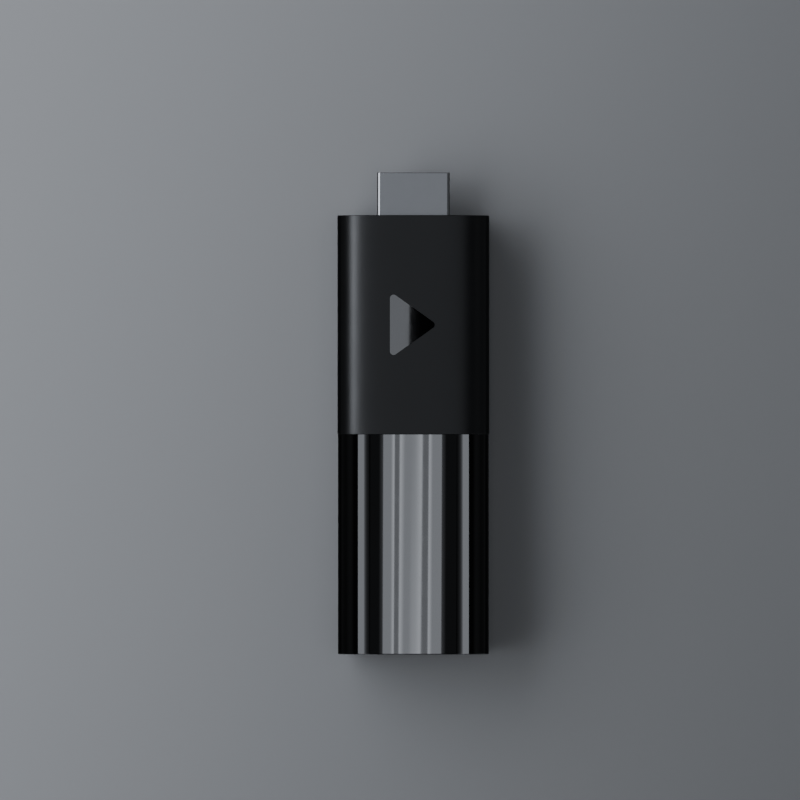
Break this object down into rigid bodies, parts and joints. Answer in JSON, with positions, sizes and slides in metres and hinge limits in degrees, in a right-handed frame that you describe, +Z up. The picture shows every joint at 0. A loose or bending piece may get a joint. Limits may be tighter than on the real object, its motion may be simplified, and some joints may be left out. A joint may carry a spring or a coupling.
{
  "type": "streaming media player",
  "caption": "Streaming stick for the back of a television: a black casing, matte in front and mirror gloss behind, with an HDMI plug on its end and a power inlet in its side.",
  "frame": {"origin": "under the middle of the stick's box, on the surface that it rests on", "axes": "+Y along the stick towards the plug's tip, +Z up from the flat underside to the crowned top with the mark, +X towards the side with the power inlet"},
  "size_m": [0.0292, 0.0924, 0.0152],
  "materials": {
    "matte_shell": "fine satin texture, black",
    "gloss_shell": "mirror gloss, piano black",
    "mark": "mirror gloss, piano black",
    "plug_steel": "nickel plated, satin",
    "contact_metal": "gold flash plated",
    "insulator": "moulded, black",
    "board": "green solder mask over glass laminate",
    "chip_resin": "moulded epoxy, dark grey",
    "shield_sheet": "tin plated sheet",
    "spreader_metal": "brushed",
    "thermal_pad": "soft silicone, grey",
    "ceramic_body": "fired, tan",
    "screw_steel": "zinc plated",
    "light_lens": "clear, frosted on the inside"
  },
  "bodies": {
    "root": {"front_casing": "matte_shell", "rear_casing": "gloss_shell", "mark_inlay": "mark", "hdmi_plug_shell": "plug_steel", "hdmi_plug_insulator": "insulator", "micro_usb_shell": "plug_steel", "micro_usb_tongue": "insulator", "light_pipe": "light_lens", "status_led": "light_lens", "main_board": "board", "processor": "chip_resin", "memory_chip_1": "chip_resin", "memory_chip_2": "chip_resin", "flash_chip": "chip_resin", "wireless_module": "shield_sheet", "power_chip": "chip_resin", "clock_crystal": "shield_sheet", "inductor_1": "chip_resin", "inductor_2": "chip_resin", "capacitor_1": "ceramic_body", "capacitor_2": "ceramic_body", "shield_frame_above": "shield_sheet", "shield_lid_above": "shield_sheet", "shield_can_below": "shield_sheet", "thermal_pad_processor": "thermal_pad", "thermal_pad_above": "thermal_pad", "thermal_pad_below": "thermal_pad", "heat_spreader_above": "spreader_metal", "heat_spreader_below": "spreader_metal", "spreader_screw_1": "screw_steel", "spreader_screw_2": "screw_steel", "aerial_rear": "shield_sheet", "aerial_side": "shield_sheet", "hdmi_contact_01": "contact_metal", "hdmi_contact_02": "contact_metal", "hdmi_contact_03": "contact_metal", "hdmi_contact_04": "contact_metal", "hdmi_contact_05": "contact_metal", "hdmi_contact_06": "contact_metal", "hdmi_contact_07": "contact_metal", "hdmi_contact_08": "contact_metal", "hdmi_contact_09": "contact_metal", "hdmi_contact_10": "contact_metal", "hdmi_contact_11": "contact_metal", "hdmi_contact_12": "contact_metal", "hdmi_contact_13": "contact_metal", "hdmi_contact_14": "contact_metal", "hdmi_contact_15": "contact_metal", "hdmi_contact_16": "contact_metal", "hdmi_contact_17": "contact_metal", "hdmi_contact_18": "contact_metal", "hdmi_contact_19": "contact_metal", "micro_usb_contact_1": "contact_metal", "micro_usb_contact_2": "contact_metal", "micro_usb_contact_3": "contact_metal", "micro_usb_contact_4": "contact_metal", "micro_usb_contact_5": "contact_metal"}
  },
  "joints": []
}
